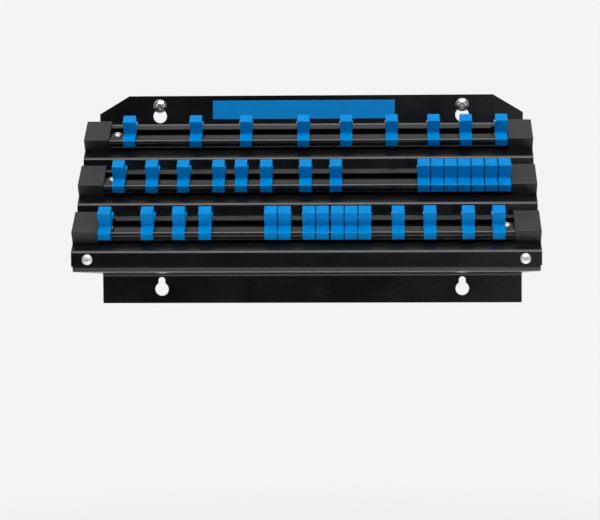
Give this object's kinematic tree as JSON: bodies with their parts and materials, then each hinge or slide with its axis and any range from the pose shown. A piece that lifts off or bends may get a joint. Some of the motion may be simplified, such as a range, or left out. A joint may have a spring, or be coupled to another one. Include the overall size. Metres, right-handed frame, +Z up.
{
  "type": "socket organizer",
  "caption": "Wall-hung stepped steel organizer: three sloped rails in end caps carry sliding clips, each with a square drive stud and detent ball for a socket.",
  "frame": {"origin": "on the wall plane, midway between the two upper hanging screws", "axes": "+X along the rails to the viewer's right, +Y into the wall, +Z up"},
  "size_m": [0.3556, 0.1845, 0.1753],
  "materials": {
    "powder_coat": "satin",
    "rail_finish": "satin",
    "cap_plastic": "matte",
    "clip_plastic": "gloss",
    "label_blue": "satin",
    "zinc": "zinc plated",
    "bright_chrome": "bright"
  },
  "bodies": {
    "frame": {"stepped_panel": "powder_coat", "lower_bracket": "powder_coat", "label_plate": "label_blue", "top_rail": "rail_finish", "middle_rail": "rail_finish", "lower_rail": "rail_finish", "top_cap_left": "cap_plastic", "top_cap_right": "cap_plastic", "middle_cap_left": "cap_plastic", "middle_cap_right": "cap_plastic", "lower_cap_left": "cap_plastic", "lower_cap_right": "cap_plastic", "rail_screws": "zinc", "rail_washers": "zinc", "rail_nuts": "zinc", "corner_screws": "zinc", "corner_nuts": "zinc", "wall_screws": "bright_chrome"},
    "top_clip_1": {"top_clip_1": "clip_plastic"},
    "top_clip_2": {"top_clip_2": "clip_plastic"},
    "top_clip_3": {"top_clip_3": "clip_plastic"},
    "top_clip_4": {"top_clip_4": "clip_plastic"},
    "top_clip_5": {"top_clip_5": "clip_plastic"},
    "top_clip_6": {"top_clip_6": "clip_plastic"},
    "top_clip_7": {"top_clip_7": "clip_plastic"},
    "top_clip_8": {"top_clip_8": "clip_plastic"},
    "top_clip_9": {"top_clip_9": "clip_plastic"},
    "middle_clip_1": {"middle_clip_1": "clip_plastic"},
    "middle_clip_2": {"middle_clip_2": "clip_plastic"},
    "middle_clip_3": {"middle_clip_3": "clip_plastic"},
    "middle_clip_4": {"middle_clip_4": "clip_plastic"},
    "middle_clip_5": {"middle_clip_5": "clip_plastic"},
    "middle_clip_6": {"middle_clip_6": "clip_plastic"},
    "middle_clip_7": {"middle_clip_7": "clip_plastic"},
    "middle_clip_8": {"middle_clip_8": "clip_plastic"},
    "middle_clip_9": {"middle_clip_9": "clip_plastic"},
    "middle_clip_10": {"middle_clip_10": "clip_plastic"},
    "middle_clip_11": {"middle_clip_11": "clip_plastic"},
    "middle_clip_12": {"middle_clip_12": "clip_plastic"},
    "middle_clip_13": {"middle_clip_13": "clip_plastic"},
    "middle_clip_14": {"middle_clip_14": "clip_plastic"},
    "middle_clip_15": {"middle_clip_15": "clip_plastic"},
    "lower_clip_1": {"lower_clip_1": "clip_plastic"},
    "lower_clip_2": {"lower_clip_2": "clip_plastic"},
    "lower_clip_3": {"lower_clip_3": "clip_plastic"},
    "lower_clip_4": {"lower_clip_4": "clip_plastic"},
    "lower_clip_5": {"lower_clip_5": "clip_plastic"},
    "lower_clip_6": {"lower_clip_6": "clip_plastic"},
    "lower_clip_7": {"lower_clip_7": "clip_plastic"},
    "lower_clip_8": {"lower_clip_8": "clip_plastic"},
    "lower_clip_9": {"lower_clip_9": "clip_plastic"},
    "lower_clip_10": {"lower_clip_10": "clip_plastic"},
    "lower_clip_11": {"lower_clip_11": "clip_plastic"},
    "lower_clip_12": {"lower_clip_12": "clip_plastic"},
    "lower_clip_13": {"lower_clip_13": "clip_plastic"},
    "lower_clip_14": {"lower_clip_14": "clip_plastic"},
    "lower_clip_15": {"lower_clip_15": "clip_plastic"}
  },
  "joints": [
    {"name": "top_clip_1_slide", "type": "slide", "parent": "frame", "child": "top_clip_1", "axis": [1, 0, 0], "range_m": [-0.011, 0.0418]},
    {"name": "top_clip_2_slide", "type": "slide", "parent": "frame", "child": "top_clip_2", "axis": [1, 0, 0], "range_m": [-0.0418, 0.02879]},
    {"name": "top_clip_3_slide", "type": "slide", "parent": "frame", "child": "top_clip_3", "axis": [1, 0, 0], "range_m": [-0.02879, 0.0343]},
    {"name": "top_clip_4_slide", "type": "slide", "parent": "frame", "child": "top_clip_4", "axis": [1, 0, 0], "range_m": [-0.0343, 0.0228]},
    {"name": "top_clip_5_slide", "type": "slide", "parent": "frame", "child": "top_clip_5", "axis": [1, 0, 0], "range_m": [-0.0228, 0.0248]},
    {"name": "top_clip_6_slide", "type": "slide", "parent": "frame", "child": "top_clip_6", "axis": [1, 0, 0], "range_m": [-0.0248, 0.0218]},
    {"name": "top_clip_7_slide", "type": "slide", "parent": "frame", "child": "top_clip_7", "axis": [1, 0, 0], "range_m": [-0.0218, 0.01431]},
    {"name": "top_clip_8_slide", "type": "slide", "parent": "frame", "child": "top_clip_8", "axis": [1, 0, 0], "range_m": [-0.01431, 0.0168]},
    {"name": "top_clip_9_slide", "type": "slide", "parent": "frame", "child": "top_clip_9", "axis": [1, 0, 0], "range_m": [-0.0168, 0]},
    {"name": "middle_clip_1_slide", "type": "slide", "parent": "frame", "child": "middle_clip_1", "axis": [1, 0, 0], "range_m": [-0.0065, 0.0148]},
    {"name": "middle_clip_2_slide", "type": "slide", "parent": "frame", "child": "middle_clip_2", "axis": [1, 0, 0], "range_m": [-0.0148, 0.01329]},
    {"name": "middle_clip_3_slide", "type": "slide", "parent": "frame", "child": "middle_clip_3", "axis": [1, 0, 0], "range_m": [-0.01329, 0.01631]},
    {"name": "middle_clip_4_slide", "type": "slide", "parent": "frame", "child": "middle_clip_4", "axis": [1, 0, 0], "range_m": [-0.01631, 0.0063]},
    {"name": "middle_clip_5_slide", "type": "slide", "parent": "frame", "child": "middle_clip_5", "axis": [1, 0, 0], "range_m": [-0.0063, 0.00829]},
    {"name": "middle_clip_6_slide", "type": "slide", "parent": "frame", "child": "middle_clip_6", "axis": [1, 0, 0], "range_m": [-0.00829, 0.01931]},
    {"name": "middle_clip_7_slide", "type": "slide", "parent": "frame", "child": "middle_clip_7", "axis": [1, 0, 0], "range_m": [-0.01931, 0.0123]},
    {"name": "middle_clip_8_slide", "type": "slide", "parent": "frame", "child": "middle_clip_8", "axis": [1, 0, 0], "range_m": [-0.0123, 0.05689]},
    {"name": "middle_clip_9_slide", "type": "slide", "parent": "frame", "child": "middle_clip_9", "axis": [1, 0, 0], "range_m": [-0.05689, 0]},
    {"name": "middle_clip_10_slide", "type": "slide", "parent": "frame", "child": "middle_clip_10", "axis": [1, 0, 0], "range_m": [-0.05689, 0]},
    {"name": "middle_clip_11_slide", "type": "slide", "parent": "frame", "child": "middle_clip_11", "axis": [1, 0, 0], "range_m": [-0.05689, 0]},
    {"name": "middle_clip_12_slide", "type": "slide", "parent": "frame", "child": "middle_clip_12", "axis": [1, 0, 0], "range_m": [-0.05689, 0]},
    {"name": "middle_clip_13_slide", "type": "slide", "parent": "frame", "child": "middle_clip_13", "axis": [1, 0, 0], "range_m": [-0.05689, 0]},
    {"name": "middle_clip_14_slide", "type": "slide", "parent": "frame", "child": "middle_clip_14", "axis": [1, 0, 0], "range_m": [-0.05689, 0]},
    {"name": "middle_clip_15_slide", "type": "slide", "parent": "frame", "child": "middle_clip_15", "axis": [1, 0, 0], "range_m": [-0.05689, 0]},
    {"name": "lower_clip_1_slide", "type": "slide", "parent": "frame", "child": "lower_clip_1", "axis": [1, 0, 0], "range_m": [0, 0.0213]},
    {"name": "lower_clip_2_slide", "type": "slide", "parent": "frame", "child": "lower_clip_2", "axis": [1, 0, 0], "range_m": [-0.0213, 0.01281]},
    {"name": "lower_clip_3_slide", "type": "slide", "parent": "frame", "child": "lower_clip_3", "axis": [1, 0, 0], "range_m": [-0.01281, 0.0088]},
    {"name": "lower_clip_4_slide", "type": "slide", "parent": "frame", "child": "lower_clip_4", "axis": [1, 0, 0], "range_m": [-0.0088, 0.0388]},
    {"name": "lower_clip_5_slide", "type": "slide", "parent": "frame", "child": "lower_clip_5", "axis": [1, 0, 0], "range_m": [-0.0388, 0.0073]},
    {"name": "lower_clip_6_slide", "type": "slide", "parent": "frame", "child": "lower_clip_6", "axis": [1, 0, 0], "range_m": [-0.0388, 0.0073]},
    {"name": "lower_clip_7_slide", "type": "slide", "parent": "frame", "child": "lower_clip_7", "axis": [1, 0, 0], "range_m": [-0.0073, 0.014]},
    {"name": "lower_clip_8_slide", "type": "slide", "parent": "frame", "child": "lower_clip_8", "axis": [1, 0, 0], "range_m": [-0.0073, 0.014]},
    {"name": "lower_clip_9_slide", "type": "slide", "parent": "frame", "child": "lower_clip_9", "axis": [1, 0, 0], "range_m": [-0.0073, 0.014]},
    {"name": "lower_clip_10_slide", "type": "slide", "parent": "frame", "child": "lower_clip_10", "axis": [1, 0, 0], "range_m": [-0.0073, 0.014]},
    {"name": "lower_clip_11_slide", "type": "slide", "parent": "frame", "child": "lower_clip_11", "axis": [1, 0, 0], "range_m": [-0.0073, 0.014]},
    {"name": "lower_clip_12_slide", "type": "slide", "parent": "frame", "child": "lower_clip_12", "axis": [1, 0, 0], "range_m": [-0.014, 0.01281]},
    {"name": "lower_clip_13_slide", "type": "slide", "parent": "frame", "child": "lower_clip_13", "axis": [1, 0, 0], "range_m": [-0.01281, 0.01779]},
    {"name": "lower_clip_14_slide", "type": "slide", "parent": "frame", "child": "lower_clip_14", "axis": [1, 0, 0], "range_m": [-0.01779, 0.0118]},
    {"name": "lower_clip_15_slide", "type": "slide", "parent": "frame", "child": "lower_clip_15", "axis": [1, 0, 0], "range_m": [-0.0118, 0.00701]}
  ],
  "couplings": [
    {"joint": "middle_clip_10_slide", "follows": "middle_clip_9_slide", "ratio": 1},
    {"joint": "middle_clip_11_slide", "follows": "middle_clip_9_slide", "ratio": 1},
    {"joint": "middle_clip_12_slide", "follows": "middle_clip_9_slide", "ratio": 1},
    {"joint": "middle_clip_13_slide", "follows": "middle_clip_9_slide", "ratio": 1},
    {"joint": "middle_clip_14_slide", "follows": "middle_clip_9_slide", "ratio": 1},
    {"joint": "middle_clip_15_slide", "follows": "middle_clip_9_slide", "ratio": 1},
    {"joint": "lower_clip_6_slide", "follows": "lower_clip_5_slide", "ratio": 1},
    {"joint": "lower_clip_8_slide", "follows": "lower_clip_7_slide", "ratio": 1},
    {"joint": "lower_clip_9_slide", "follows": "lower_clip_7_slide", "ratio": 1},
    {"joint": "lower_clip_10_slide", "follows": "lower_clip_7_slide", "ratio": 1},
    {"joint": "lower_clip_11_slide", "follows": "lower_clip_7_slide", "ratio": 1}
  ]
}
